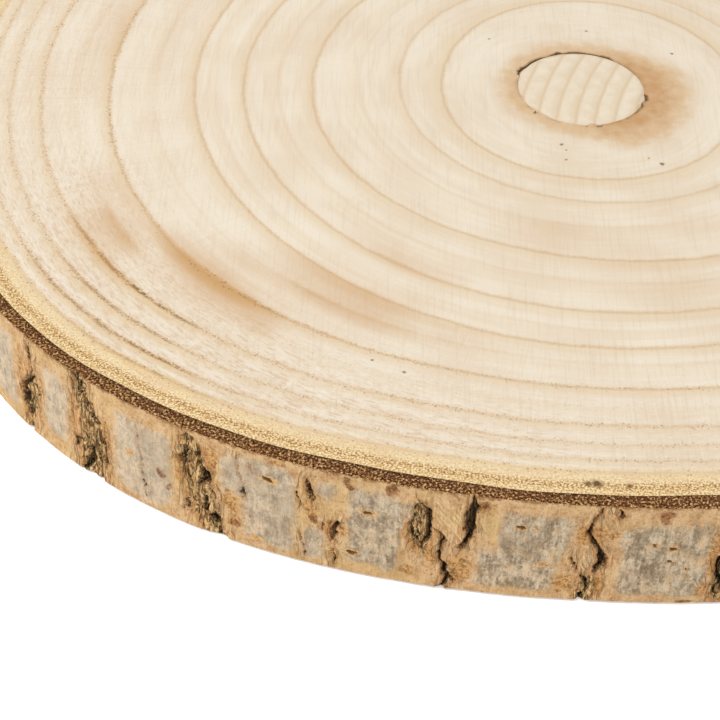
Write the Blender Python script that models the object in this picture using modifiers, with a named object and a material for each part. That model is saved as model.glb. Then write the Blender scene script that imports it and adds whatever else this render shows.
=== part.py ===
"""Wood slice: a round sawn straight across a tree trunk, bark on, with a plug in its bored pith.

Metres, +Z up. The slice lies flat on Z = 0, and the middle of its bounding box is on the Z axis.
"""

import math
import random

import bmesh
import bpy
from mathutils import Matrix, Vector

# Driving dimensions
THICKNESS = 0.025
TRUNK_RADIUS = 0.1456  # mean, over the bark
PITH_OFFSET = Vector((-0.0040, -0.0108, 0.0))  # from the trunk's middle: the rings are off centre
PITH_HOLE_RADIUS = 0.0143
PLUG_RADIUS = 0.0140
PLUG_EDGE_BEVEL = 0.0003

# How the trunk departs from round: waves round it, their height, and a crest's direction in degrees
TRUNK_LOBES = (
    (2, 0.0030, 23.0),
    (3, 0.0023, -25.0),
    (4, 0.0015, 40.5),
    (5, 0.0005, 11.0),
)

# Bark fissures: direction at mid height and lean from bottom to top in degrees, mouth width,
# depth, and the heights where each one starts and ends, as fractions of the thickness
FISSURES = (
    (221.4, 0.8, 0.0036, 0.0016, 0.0, 0.9),
    (228.4, -1.8, 0.0070, 0.0030, -0.2, 1.0),
    (238.0, -2.6, 0.0050, 0.0026, -0.1, 0.8),
    (247.4, -1.4, 0.0032, 0.0012, 0.1, 0.85),
    (254.6, 0.6, 0.0036, 0.0022, 0.3, 0.9),
    (256.4, -0.4, 0.0036, 0.0024, -0.1, 0.6),
    (257.8, 0.4, 0.0034, 0.0026, 0.45, 1.0),
    (267.1, 0.2, 0.0042, 0.0024, -0.1, 0.98),
    (276.4, -0.6, 0.0038, 0.0020, 0.0, 0.7),
)
HIDDEN_BARK = (284.0, 574.0)  # degrees: the rest of the way round, where fissures are drawn by chance
HIDDEN_FISSURE_SPACING = (7.0, 13.0)
HIDDEN_FISSURE_SEED = 7

OUTLINE_SEGMENTS = 600
BARK_ROWS = 5
HOLE_SEGMENTS = 72


def clear_scene():
    for obj in list(bpy.data.objects):
        bpy.data.objects.remove(obj, do_unlink=True)


def new_collection(name):
    collection = bpy.data.collections.new(name)
    bpy.context.scene.collection.children.link(collection)
    return collection


def wood_material(name, colour, roughness):
    material = bpy.data.materials.new(name)
    material.use_nodes = True
    shader = material.node_tree.nodes["Principled BSDF"]
    shader.inputs["Base Color"].default_value = (*colour, 1.0)
    shader.inputs["Roughness"].default_value = roughness
    shader.inputs["Metallic"].default_value = 0.0
    return material


def all_fissures():
    """The placed fissures, and chance ones of the same kind round the rest of the trunk."""
    chance = random.Random(HIDDEN_FISSURE_SEED)
    fissures = list(FISSURES)
    direction, end = HIDDEN_BARK
    while direction < end:
        fissures.append(
            (
                direction,
                chance.uniform(-2.5, 2.5),
                chance.uniform(0.0034, 0.0068),
                chance.uniform(0.0012, 0.0030),
                chance.uniform(-0.2, 0.4),
                chance.uniform(0.6, 1.1),
            )
        )
        direction += chance.uniform(*HIDDEN_FISSURE_SPACING)
    return fissures


def degrees_between(a, b):
    return (a - b + 180.0) % 360.0 - 180.0


def fade(distance, reach):
    """0 at or outside the end, rising smoothly to 1 where distance inside it equals reach."""
    t = min(max(distance / reach, 0.0), 1.0)
    return t * t * (3.0 - 2.0 * t)


def fissure_depth(direction, height, fissures):
    """How far the bark is cut back at a direction in degrees and a height fraction."""
    deepest = 0.0
    for middle, lean, width, depth, low, high in fissures:
        across = math.radians(degrees_between(direction, middle + lean * (height - 0.5))) * TRUNK_RADIUS
        slope = max(0.0, 1.0 - abs(across) / (width / 2.0))
        ends = fade(height - low, 0.25) * fade(high - height, 0.25)
        deepest = max(deepest, depth * slope * ends)
    return deepest


def trunk_radius(direction):
    """Distance from the trunk's middle to the outside of the bark, at a direction in degrees."""
    radius = TRUNK_RADIUS
    for waves, wave_height, crest in TRUNK_LOBES:
        radius += wave_height * math.cos(waves * math.radians(direction - crest))
    return radius


def add_object(name, mesh_builder, collection, *materials):
    mesh = bpy.data.meshes.new(name)
    mesh_builder.to_mesh(mesh)
    mesh_builder.free()
    for material in materials:
        mesh.materials.append(material)
    obj = bpy.data.objects.new(name, mesh)
    collection.objects.link(obj)
    return obj


def upright_cylinder(radius, bottom, top, segments, centre=Vector()):
    builder = bmesh.new()
    middle = centre + Vector((0.0, 0.0, (bottom + top) / 2.0))
    bmesh.ops.create_cone(
        builder,
        cap_ends=True,
        segments=segments,
        radius1=radius,
        radius2=radius,
        depth=top - bottom,
        matrix=Matrix.Translation(middle),
    )
    return builder


def make_slice(collection, end_grain, bark):
    """The slice without its hole. Returns it and the place of the pith in its frame."""
    builder = upright_cylinder(TRUNK_RADIUS, 0.0, THICKNESS, OUTLINE_SEGMENTS)
    upright_edges = [edge for edge in builder.edges if abs(edge.verts[0].co.z - edge.verts[1].co.z) > 0.01]
    bmesh.ops.subdivide_edges(builder, edges=upright_edges, cuts=BARK_ROWS - 1)

    fissures = all_fissures()
    for vertex in builder.verts:
        direction = math.degrees(math.atan2(vertex.co.y, vertex.co.x)) % 360.0
        radius = trunk_radius(direction)
        radius -= fissure_depth(direction, vertex.co.z / THICKNESS, fissures)
        vertex.co.xy = vertex.co.xy.normalized() * radius

    lowest = Vector([min(vertex.co[axis] for vertex in builder.verts) for axis in (0, 1)])
    highest = Vector([max(vertex.co[axis] for vertex in builder.verts) for axis in (0, 1)])
    middle = ((lowest + highest) / 2.0).to_3d()
    bmesh.ops.translate(builder, verts=builder.verts, vec=-middle)

    for face in builder.faces:
        sawn = abs(face.normal.z) > 0.9
        face.material_index = 0 if sawn else 1
        face.smooth = not sawn
    wood_slice = add_object("wood_slice", builder, collection, end_grain, bark)
    wood_slice.data.set_sharp_from_angle(angle=math.radians(50.0))
    return wood_slice, PITH_OFFSET - middle


def bore_pith(wood_slice, pith, collection):
    overshoot = 0.01
    builder = upright_cylinder(PITH_HOLE_RADIUS, -overshoot, THICKNESS + overshoot, HOLE_SEGMENTS, pith)
    cutter = add_object("pith_hole_cutter", builder, collection)
    cutter.hide_render = True
    cutter.display_type = "WIRE"
    bore = wood_slice.modifiers.new("Pith hole", "BOOLEAN")
    bore.operation = "DIFFERENCE"
    bore.solver = "EXACT"
    bore.object = cutter


def make_plug(pith, collection, plug_wood):
    builder = upright_cylinder(PLUG_RADIUS, 0.0, THICKNESS, HOLE_SEGMENTS)
    for face in builder.faces:
        face.smooth = abs(face.normal.z) < 0.9
    plug = add_object("pith_plug", builder, collection, plug_wood)
    plug.location = pith
    plug.data.set_sharp_from_angle(angle=math.radians(50.0))
    bevel = plug.modifiers.new("Eased edge", "BEVEL")
    bevel.width = PLUG_EDGE_BEVEL
    bevel.segments = 1
    bevel.limit_method = "ANGLE"


def main():
    clear_scene()
    parts = new_collection("Wood slice")
    cutters = new_collection("Cutters")
    end_grain = wood_material("End grain", (0.78, 0.66, 0.48), 0.75)
    bark = wood_material("Bark", (0.42, 0.30, 0.18), 0.90)
    plug_wood = wood_material("Plug wood", (0.82, 0.72, 0.54), 0.70)

    wood_slice, pith = make_slice(parts, end_grain, bark)
    bore_pith(wood_slice, pith, cutters)
    make_plug(pith, parts, plug_wood)


main()
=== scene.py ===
import math
import random

import bmesh
import bpy
import numpy as np
from mathutils import Matrix, Vector


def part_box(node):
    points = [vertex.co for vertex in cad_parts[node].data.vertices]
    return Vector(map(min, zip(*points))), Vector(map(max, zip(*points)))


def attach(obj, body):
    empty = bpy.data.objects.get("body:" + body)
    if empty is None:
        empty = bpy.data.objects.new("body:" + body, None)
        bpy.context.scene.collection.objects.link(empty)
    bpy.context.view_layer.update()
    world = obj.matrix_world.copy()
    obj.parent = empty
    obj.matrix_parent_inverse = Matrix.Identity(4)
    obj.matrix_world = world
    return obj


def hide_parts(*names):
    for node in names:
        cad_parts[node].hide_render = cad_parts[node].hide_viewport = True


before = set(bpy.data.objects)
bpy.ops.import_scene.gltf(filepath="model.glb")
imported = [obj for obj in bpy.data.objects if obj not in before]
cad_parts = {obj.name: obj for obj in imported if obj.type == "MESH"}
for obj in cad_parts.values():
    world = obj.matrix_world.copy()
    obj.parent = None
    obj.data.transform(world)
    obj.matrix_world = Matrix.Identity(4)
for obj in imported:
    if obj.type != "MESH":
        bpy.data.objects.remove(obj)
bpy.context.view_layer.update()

mm = 0.001

# sizes and places that everything shares, in mm: the frame gives the slice's thickness and the plug
sliceLow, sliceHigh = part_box("wood_slice")
plugLow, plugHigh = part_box("pith_plug")
slab = {
    "thickness": (sliceHigh.z - sliceLow.z) / mm,
    "pith": np.array([(plugLow.x + plugHigh.x) / 2, (plugLow.y + plugHigh.y) / 2]) / mm,
    "plugRadius": (plugHigh.x - plugLow.x) / 2 / mm,
    "pithOffset": np.array([-4.0, -10.8]),  # the pith from the trunk's middle
}
slab["middle"] = slab["pith"] - slab["pithOffset"]


def fitTrunkOutline():  # a smooth outline through the rim of the CAD slice, leaving out its fissures
    corners = np.array([v.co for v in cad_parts["wood_slice"].data.vertices]) / mm
    rim = corners[corners[:, 2] > slab["thickness"] - 0.01, :2] - slab["middle"]
    reach = np.hypot(rim[:, 0], rim[:, 1])
    rim, reach = rim[reach > 100], reach[reach > 100]
    angle = np.arctan2(rim[:, 1], rim[:, 0])

    def waves(a):
        return np.stack([np.ones_like(a)] + [f(k * a) for k in range(1, 6) for f in (np.cos, np.sin)], -1)

    for tries in range(5):
        fit = np.linalg.lstsq(waves(angle), reach, rcond=None)[0]
        good = reach > waves(angle) @ fit - 0.2
        angle, reach = angle[good], reach[good]
    return lambda a: waves(np.asarray(a, float)) @ fit


trunkOutline = fitTrunkOutline()
slab["radius"] = float(trunkOutline(np.linspace(0, 2 * math.pi, 720)).mean())
slab["mmPerDegree"] = math.radians(1) * slab["radius"]
print("outline fitted, mean radius", round(slab["radius"], 1), "mm")


def cloud(points, size, seed=0, octaves=3):  # soft noise from about -1 to 1, in lumps of that size in mm
    total = np.zeros(len(points))
    for octave in range(octaves):
        spot = np.asarray(points, float) / size * 2.1 ** octave + seed * 17.31 + octave * 5.7
        cell = np.floor(spot).astype(np.int64)
        part = spot - cell
        part = part * part * (3 - 2 * part)
        for corner in np.ndindex(2, 2, 2):
            x, y, z = (cell + corner).T
            mixed = (x * 73856093) ^ (y * 19349663) ^ (z * 83492791)
            mixed = (mixed ^ (mixed >> 13)) * 1274126177
            value = ((mixed >> 16) % 2048) / 1023.5 - 1
            total += 0.5 ** octave * value * np.prod(np.where(corner, part, 1 - part), axis=1)
    return total


def smooth(value, low, high):
    t = np.clip((value - low) / (high - low), 0, 1)
    return t * t * (3 - 2 * t)


def turned(a, b):  # the angle from b to a in degrees, -180 to 180
    return (a - b + 180) % 360 - 180


def towards(degrees, side):  # 1 in that direction, -1 in the opposite one
    return np.cos(np.radians(degrees - side))


class Wire:  # one output of a node: + - * / on it add Math nodes
    def __init__(self, tree, socket=None):
        self.tree = tree
        self.socket = socket

    def node(self, kind, settings=None, sockets=None, output=0):
        made = self.tree.nodes.new(kind)
        for name, value in (settings or {}).items():
            setattr(made, name, value)
        for name, value in (sockets or {}).items():
            if isinstance(value, Wire):
                self.tree.links.new(value.socket, made.inputs[name])
            else:
                made.inputs[name].default_value = value
        return Wire(self.tree, made.outputs[output])

    def maths(self, operation, *values):
        return self.node("ShaderNodeMath", {"operation": operation}, dict(enumerate(values)))

    __add__ = __radd__ = lambda self, other: self.maths("ADD", self, other)
    __sub__ = lambda self, other: self.maths("SUBTRACT", self, other)
    __rsub__ = lambda self, other: self.maths("SUBTRACT", other, self)
    __mul__ = __rmul__ = lambda self, other: self.maths("MULTIPLY", self, other)
    __truediv__ = lambda self, other: self.maths("DIVIDE", self, other)
    __abs__ = lambda self: self.maths("ABSOLUTE", self)

    def least(self, other):
        return self.maths("MINIMUM", self, other)

    def most(self, other):
        return self.maths("MAXIMUM", self, other)

    def step(self, low, high):  # 0 at low and 1 at high, smoothly
        settings = {"interpolation_type": "SMOOTHSTEP"}
        return self.node("ShaderNodeMapRange", settings, {"Value": self, "From Min": low, "From Max": high})

    def vector(self, operation, other=None, scale=None, output=0):
        sockets = {0: self}
        if other is not None:
            sockets[1] = other
        if scale is not None:
            sockets["Scale"] = scale
        return self.node("ShaderNodeVectorMath", {"operation": operation}, sockets, output)

    def length(self):
        return self.vector("LENGTH", output=1)

    def mapped(self, scale, move=(0, 0, 0)):
        return self.node("ShaderNodeMapping", None, {"Vector": self, "Location": move, "Scale": scale})

    def noise(self, size, detail=2.0, roughness=0.5):  # lumps of that size, 0 to 1
        sockets = {"Vector": self, "Scale": 1 / size, "Detail": detail, "Roughness": roughness}
        return self.node("ShaderNodeTexNoise", None, sockets)

    def sway(self, amount):  # noise moved to lie round 0
        return (self - 0.5) * amount

    def cells(self, size):  # how far it is to the middle of the nearest cell
        return self.node("ShaderNodeTexVoronoi", None, {"Vector": self, "Scale": 1 / size})

    def attribute(self, name):
        return self.node("ShaderNodeAttribute", {"attribute_name": name}, None, 2)

    def place(self):  # Object coordinates
        return self.node("ShaderNodeTexCoord", None, None, 3)

    def fromPith(self):  # the same in mm from the pith, without the height
        move = (-slab["pith"][0], -slab["pith"][1], 0)
        return self.place().mapped((1 / mm, 1 / mm, 0), move)

    def blend(self, low, high, factor):  # from one colour at 0 to another at 1
        low, high = (colour if isinstance(colour, Wire) else paint(*colour) for colour in (low, high))
        return self.node("ShaderNodeMix", {"data_type": "RGBA"}, {0: factor, 6: low, 7: high}, 2)

    def layered(self, *layers):  # colours laid over this one in turn, each with how much of it
        under = self
        for colour, amount in layers:
            under = self.blend(under, colour, amount)
        return under


def paint(*colour):  # everyday red, green and blue from 0 to 255 as a shader's own numbers
    parts = [v / 255 for v in colour]
    return (*(v / 12.92 if v <= 0.04045 else ((v + 0.055) / 1.055) ** 2.4 for v in parts), 1.0)


def newMaterial(name, roughness):
    material = bpy.data.materials.new(name)
    material.use_nodes = True
    shader = material.node_tree.nodes["Principled BSDF"]
    shader.inputs["Roughness"].default_value = roughness
    shader.inputs["Specular IOR Level"].default_value = 0.25
    return material, shader, Wire(material.node_tree)


def finishMaterial(wire, shader, colour, height, strength, distance):
    bump = wire.node("ShaderNodeBump", None, {"Height": height, "Strength": strength, "Distance": distance})
    wire.tree.links.new(colour.socket, shader.inputs["Base Color"])
    wire.tree.links.new(bump.socket, shader.inputs["Normal"])


def giveAttributes(piece, **named):
    for name, values in named.items():
        layer = piece.data.attributes.new(name, "FLOAT", "POINT")
        layer.data.foreach_set("value", np.asarray(values, np.float32))


def giveMap(piece, uv):
    layer = piece.data.uv_layers.new(name="OFBake")
    layer.data.foreach_set("uv", uv.astype(np.float32).ravel())


def corners(piece):
    flat = np.zeros(len(piece.data.vertices) * 3)
    piece.data.vertices.foreach_get("co", flat)
    return flat.reshape(-1, 3) / mm


def setCorners(piece, points):
    piece.data.vertices.foreach_set("co", (points * mm).ravel())
    piece.data.update()


def setRound(piece, middle, radius, angle, height):
    x = middle[0] + radius * np.cos(angle)
    y = middle[1] + radius * np.sin(angle)
    setCorners(piece, np.stack([x, y, height], 1))


def faceEnds(piece):  # the numbers of the four corners of each face
    ends = np.zeros(len(piece.data.loops), np.int32)
    piece.data.loops.foreach_get("vertex_index", ends)
    return ends.reshape(-1, 4)


def pickEdges(piece, test):  # in edit mode, leaves selected only the edges whose ends pass the test
    shape = bmesh.from_edit_mesh(piece.data)
    for edge in shape.edges:
        edge.select_set(False)
    for edge in shape.edges:
        if test(edge.verts[0].co / mm, edge.verts[1].co / mm):
            edge.select_set(True)
    bmesh.update_edit_mesh(piece.data)


# a closed ring: an upright rectangle from one radius to another, its edges cut up, spun round an axis
# in a few steps, each of which is then cut up and pushed out from its chord to the arc
def spinRing(name, axis, inner, outer, steps, stepCuts, acrossCuts, upCuts):
    bpy.ops.object.select_all(action="DESELECT")
    place = (axis[0] + (inner + outer) / 2, axis[1], slab["thickness"] / 2)
    bpy.ops.mesh.primitive_plane_add(size=1, location=Vector(place) * mm, rotation=(math.pi / 2, 0, 0))
    piece = bpy.context.object
    piece.name = piece.data.name = name
    piece.scale = ((outer - inner) * mm, slab["thickness"] * mm, 1)
    bpy.ops.object.transform_apply(location=True, rotation=True, scale=True)
    bpy.ops.object.mode_set(mode="EDIT")
    bpy.ops.mesh.select_all(action="SELECT")
    bpy.ops.mesh.delete(type="ONLY_FACE")
    pickEdges(piece, lambda a, b: abs(a.z - b.z) < 0.01)
    bpy.ops.mesh.subdivide(number_cuts=acrossCuts)
    if upCuts:
        pickEdges(piece, lambda a, b: abs(a.z - b.z) > 1 and a.x - axis[0] > outer - 0.01)
        bpy.ops.mesh.subdivide(number_cuts=upCuts)
    bpy.ops.mesh.select_all(action="SELECT")
    centre = Vector((axis[0], axis[1], 0))
    bpy.ops.mesh.spin(steps=steps, angle=2 * math.pi, center=centre * mm, axis=(0, 0, 1))
    bpy.ops.mesh.select_all(action="SELECT")
    bpy.ops.mesh.remove_doubles(threshold=0.002 * mm)
    bpy.ops.mesh.normals_make_consistent(inside=False)
    if stepCuts:
        pickEdges(piece, lambda a, b: abs(a.z - b.z) < 0.01
                  and abs((a - centre).xy.length - (b - centre).xy.length) < 0.01)
        bpy.ops.mesh.subdivide(number_cuts=stepCuts)
    bpy.ops.object.mode_set(mode="OBJECT")
    if stepCuts:
        points = corners(piece)
        flat = points[:, :2] - axis
        half = math.pi / steps
        fromMiddle = np.arctan2(flat[:, 1], flat[:, 0]) % (2 * half) - half
        points[:, :2] = axis + flat * (np.cos(fromMiddle) / math.cos(half))[:, None]
        setCorners(piece, points)
    return piece


def finishPiece(piece, slot, *nodes):
    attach(piece, "root")
    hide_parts(*nodes)
    print(piece.name, len(piece.data.polygons), "faces")


# The bark. Directions are degrees round the trunk's middle, depths are mm down from the top face.
bark = {
    "width": 3.3,
    "steps": 60,
    "stepCuts": 27,
    "rows": 54,
    "sawnRows": 2,
    "fineSide": 247,  # the mesh is finest in this direction
    "crowding": 0.4,
    "paleSide": 220,  # painted light: the grey plates are tinted paler towards this direction, where the key light comes from
    "hidden": (284.0, 574.0),  # between these directions the bark grows by chance
    "lastSeen": (276.6, 4.0),  # the fissures on either side of that: direction, width in mm
    "firstSeen": (576.6, 3.0),
    "fissureSeed": 7,
    "detailSeed": 21,
    "mapRows": 6,
    "plateLift": 0.30,
    "fissureDepth": 2.2,
    "crackDepth": 2.2,
    "poreLift": 0.22,
    "slitDepth": 0.6,
    "deepest": 3.0,
    # grey weathered plates: from and to direction, from and to depth
    "plates": [
        (216.6, 219.8, 3, 22), (223.4, 226.1, 4, 20.5), (230.9, 235.7, 3.6, 22.6),
        (239.6, 245.4, 1.9, 12.5), (241.2, 245.4, 10, 22.8), (245.9, 247.4, 14.8, 22.6),
        (246.9, 248.2, 2.6, 7), (248.9, 253.2, 3, 22.2), (252.6, 254, 3.4, 8),
        (260.1, 265.2, 2.8, 14), (258.4, 264.6, 12.2, 22.9), (268.9, 275.6, 4.2, 23),
    ],
    # wide rough fissures: direction, depth down, half width in mm
    "fissures": [
        [(227.3, -1, 0.9), (227.6, 5, 1.8), (228.4, 11, 2.4), (228.5, 17, 3.1), (228.3, 26, 3)],
        [(236.9, 2, 0.8), (237.2, 6, 2.6), (237.7, 12, 2.8), (238.1, 18, 2.6), (239.2, 26, 2.2)],
        [(254.3, 4, 0.3), (254.4, 8, 1.4), (254.3, 12, 2.2), (254.6, 16, 0.6)],
        [(266.6, 18, 0.3), (266.8, 21, 1.5), (266.6, 26, 1.2)],
        [(221.9, 9, 0.6), (221.7, 14, 1.8), (221.3, 20, 1.4), (221.3, 25, 1)],
        [(276.6, 8, 0.4), (276.7, 14, 1.5), (276.8, 22, 1.8)],
    ],
    # cracks, painted dark inside as shade: direction, depth down, half width in mm
    "cracks": [
        [(221.7, 2.5, 0.45), (221.9, 6, 0.5), (222.2, 9, 0.4), (222.4, 12, 0.8), (222.8, 13.8, 0.4)],
        [(222, 10.5, 0.2), (221.2, 12, 0.4), (220.7, 14.5, 0.5), (220.7, 18, 0.7), (221.1, 21, 0.75),
         (221.4, 24.3, 0.5)],
        [(221.6, 16.5, 0.3), (221.5, 18.5, 0.35), (221.7, 20.5, 0.2)],
        [(227.1, 0.4, 0.5), (227.3, 3, 0.8), (227.2, 6, 0.3), (227.2, 9, 0.2)],
        [(227.9, 4, 0.5), (228, 7, 0.8), (228.4, 9.5, 1), (228.6, 11, 0.7), (228.4, 12, 0.2)],
        [(228.7, 7, 0.3), (229.2, 9, 0.3), (229.4, 12, 0.3)],
        [(229.3, 13, 0.4), (229.5, 16, 0.9), (229.4, 19, 1.3), (229.2, 20.5, 1.2), (229, 21.6, 0.3)],
        [(227.5, 19, 0.3), (227.8, 21, 0.6), (227.6, 23.5, 0.8), (227.2, 25, 0.4)],
        [(226.9, 16.5, 0.3), (226.9, 19, 0.3)],
        [(232.9, 5, 0.05), (233.1, 10, 0.12), (233.2, 16, 0.25), (233.4, 22, 0.12)],
        [(236.5, 5.5, 0.4), (236.4, 8, 0.6), (236.7, 10, 0.3)],
        [(237.4, 6, 0.4), (237.9, 8, 0.7), (238.2, 10, 0.9), (238.3, 11.8, 0.9), (237.9, 12.7, 0.5)],
        [(237, 9, 0.3), (237.2, 11.5, 0.3)],
        [(237.3, 14.5, 0.4), (237.8, 16.5, 0.8), (238.3, 18.5, 0.7), (238.3, 20, 0.5), (238.6, 22, 0.6),
         (238.9, 23.5, 0.3)],
        [(238.9, 20.3, 0.5), (239.1, 21.5, 0.7), (239.2, 22.3, 0.3)],
        [(238.6, 14.5, 0.3), (239, 13.5, 0.4), (239.2, 15, 0.3)],
        [(239.3, 24.9, 0.4), (239.8, 24, 0.7), (240.1, 23.8, 0.3)],
        [(236.9, 18, 0.3), (237, 20, 0.3)],
        [(240.8, 3, 0.12), (241, 6, 0.1), (241.3, 9, 0.15), (241.2, 11.3, 0.4), (241.5, 11.7, 0.3)],
        [(246.1, 3.3, 0.25), (246.3, 5.5, 0.5), (246.5, 7.5, 0.5), (246.6, 8.3, 0.2)],
        [(248.3, 12.8, 0.55), (248, 14.5, 0.45), (248.2, 15.5, 0.55), (247.9, 17, 0.25)],
        [(248, 19.5, 0.2), (248.3, 22, 0.35), (248.2, 23.5, 0.15)],
        [(247.2, 13.5, 0.2), (247.3, 15, 0.2)],
        [(245.8, 17.5, 0.12), (245.9, 22.5, 0.18)],
        [(245.4, 7, 0.15), (245.8, 10, 0.2)],
        [(254.2, 3, 0.15), (253.9, 7, 0.2), (253.5, 9.5, 0.25), (253.6, 12, 0.4), (254.1, 14, 0.35),
         (254.7, 16.5, 0.2)],
        [(254.3, 3.5, 0.2), (254.7, 5.5, 0.5), (255, 9, 0.6), (255.1, 11.5, 0.7), (254.9, 13.5, 0.5),
         (254.6, 14.6, 0.2)],
        [(253.9, 11, 0.25), (254.3, 12.5, 0.45), (254.6, 12, 0.25)],
        [(255.4, 9, 0.2), (255.9, 10.5, 0.3), (256.1, 12, 0.4), (255.9, 14.5, 0.3), (255.9, 17, 0.4),
         (256.2, 18.5, 0.5), (256.2, 20, 0.6), (256.4, 21, 0.8), (256.7, 22, 0.4), (256.3, 23.5, 0.4),
         (256, 25, 0.6)],
        [(256.6, 21.5, 0.4), (257.1, 22.5, 0.25)],
        [(257.9, 0.6, 0.3), (258, 3.5, 0.9), (257.8, 7, 1.1), (257.9, 9, 0.9), (257.8, 11.3, 0.6),
         (257.6, 13, 0.5), (257.2, 13.9, 0.2)],
        [(267.1, 1, 0.25), (267, 2.5, 0.35), (266.5, 4.3, 0.3), (266.4, 6.5, 0.5), (266.5, 8.5, 0.4),
         (266.9, 10, 0.4), (267.4, 11.5, 0.6), (267.6, 13.5, 0.9), (267.7, 14.5, 0.9), (267.5, 16, 0.5),
         (267.1, 17.3, 0.25)],
        [(268.3, 1, 0.2), (268.5, 2.2, 0.4), (268.4, 2.8, 0.2)],
        [(265.4, 13.8, 0.35), (265.7, 15.5, 0.2), (266, 17, 0.25)],
        [(266.4, 18.5, 0.2), (266.7, 20.5, 0.4), (266.9, 22, 0.4), (266.6, 23.5, 0.3), (266.4, 25, 0.5)],
        [(276.3, 9, 0.3), (276.6, 13, 0.4), (276.5, 17, 0.5), (276.8, 20, 0.6), (276.6, 23, 0.3)],
    ],
    # raised flakes: direction, depth down, half width and height, lean in degrees, how far they stand out
    "flakes": [
        (256.4, 7, 3.2, 6.6, -18, 0.9), (266.5, 13.6, 1.5, 3.6, -14, 0.7), (254, 11.5, 1.2, 2.6, 0, 0.3),
        (267.9, 5, 1.6, 3.4, 10, 0.4), (228.3, 14.5, 1.5, 1.8, 20, 0.9), (239, 17.5, 0.9, 3, 14, 0.8),
    ],
    # corky pores across the grain: direction, depth down, half length, half height, how dark the slit is
    "pores": [
        (243.3, 5.8, 1.7, 0.8, 1), (250.6, 8.7, 1.3, 0.75, 0.8), (249.6, 19.1, 1.4, 0.7, 0.8),
        (261.5, 6.8, 1.1, 0.7, 1), (262.6, 6.7, 0.6, 0.6, 0.3), (263.5, 15.7, 1.8, 0.6, 0.3),
        (271.3, 9.4, 0.9, 0.5, 0.6), (272.7, 10, 1.1, 0.8, 1), (272.6, 13.2, 0.9, 0.4, 0.9),
        (232.1, 12.2, 1.1, 0.7, 0.2), (242.5, 22, 1.4, 0.7, 0.2), (246.5, 9.8, 0.8, 0.5, 0.2),
        (273.8, 15.6, 0.3, 0.5, 1),
    ],
    # places where the lower or upper edge is broken off: direction, depth down, half width and height, depth
    "chips": [
        (228.2, 25.6, 2.4, 1.5, 1), (239.7, 25.4, 1.6, 1.1, 1), (256.2, 25.4, 1.2, 0.8, 0.5),
        (266.4, 25.4, 1, 0.8, 0.5), (221.3, 25.4, 1.6, 1, 1), (274, 25.3, 1.2, 0.7, 0.6),
        (243, 25.2, 0.8, 0.5, 0.6), (227.4, -0.4, 1.2, 1.2, 1.2), (257.9, -0.3, 0.7, 1, 1),
    ],
    # rusty brown spots: direction, depth down, half width, half height, strength
    "rust": [
        (234.8, 14.1, 1.2, 1.2, 0.8), (235.4, 17, 0.9, 1.3, 0.8), (240.7, 19.6, 1.4, 1.2, 0.9),
        (246.5, 13, 1.1, 1.5, 0.9), (248.9, 1.5, 1.1, 1.2, 1), (249.2, 2.8, 0.9, 1, 1),
        (252.2, 1.6, 1.5, 1.9, 1), (253.6, 22, 2, 0.9, 0.8), (258.8, 2.4, 1.5, 1.2, 1),
        (257, 1.5, 0.7, 0.9, 0.9), (271.8, 2.3, 1.5, 1.9, 1.1), (274.2, 24.2, 1.8, 0.6, 1),
        (242.2, 4.3, 1.7, 2.4, 0.5), (242, 15.7, 1.8, 1.6, 0.5), (249.6, 18.6, 1, 0.7, 0.8),
    ],
    # fresher golden cork beside the fissures, given the same way
    "golden": [
        (253.9, 12, 1.4, 4, 1), (255.3, 17, 1, 3, 1), (257.4, 19, 2, 3.6, 1),
        (253.6, 21.4, 2.2, 1.2, 0.9), (266.1, 7.8, 1.2, 2.8, 1.1), (267.3, 7.6, 1.5, 2.6, 1.1),
        (268.2, 7.2, 1.2, 0.8, 0.9), (265.1, 20.8, 2.2, 2.4, 1), (267.6, 20.2, 1.6, 2.8, 1),
        (238.8, 6, 1.4, 4, 1), (240.3, 14.6, 1.6, 3.2, 1), (240.6, 18.8, 1.4, 1.6, 1),
        (237.9, 21, 1, 3.5, 0.9), (239.4, 23.2, 1.2, 1, 0.9), (246.5, 10.8, 1.4, 2.4, 1),
        (247.7, 14.2, 0.9, 2.4, 0.9), (248.8, 13.6, 0.7, 2, 1), (243.8, 1.4, 2.4, 0.8, 0.7),
        (242.3, 21.8, 1.8, 0.8, 0.8), (229.9, 12, 0.9, 6, 0.8), (226.6, 12, 0.9, 6, 0.8),
        (276, 12, 1.8, 7, 1), (222.8, 18, 0.8, 4, 0.8), (236.3, 12, 0.8, 4.5, 0.8),
        (258.9, 3, 1.6, 1.8, 0.8), (220.6, 10, 0.8, 6, 0.8), (275.4, 21, 1.4, 2, 0.9),
    ],
}


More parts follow.
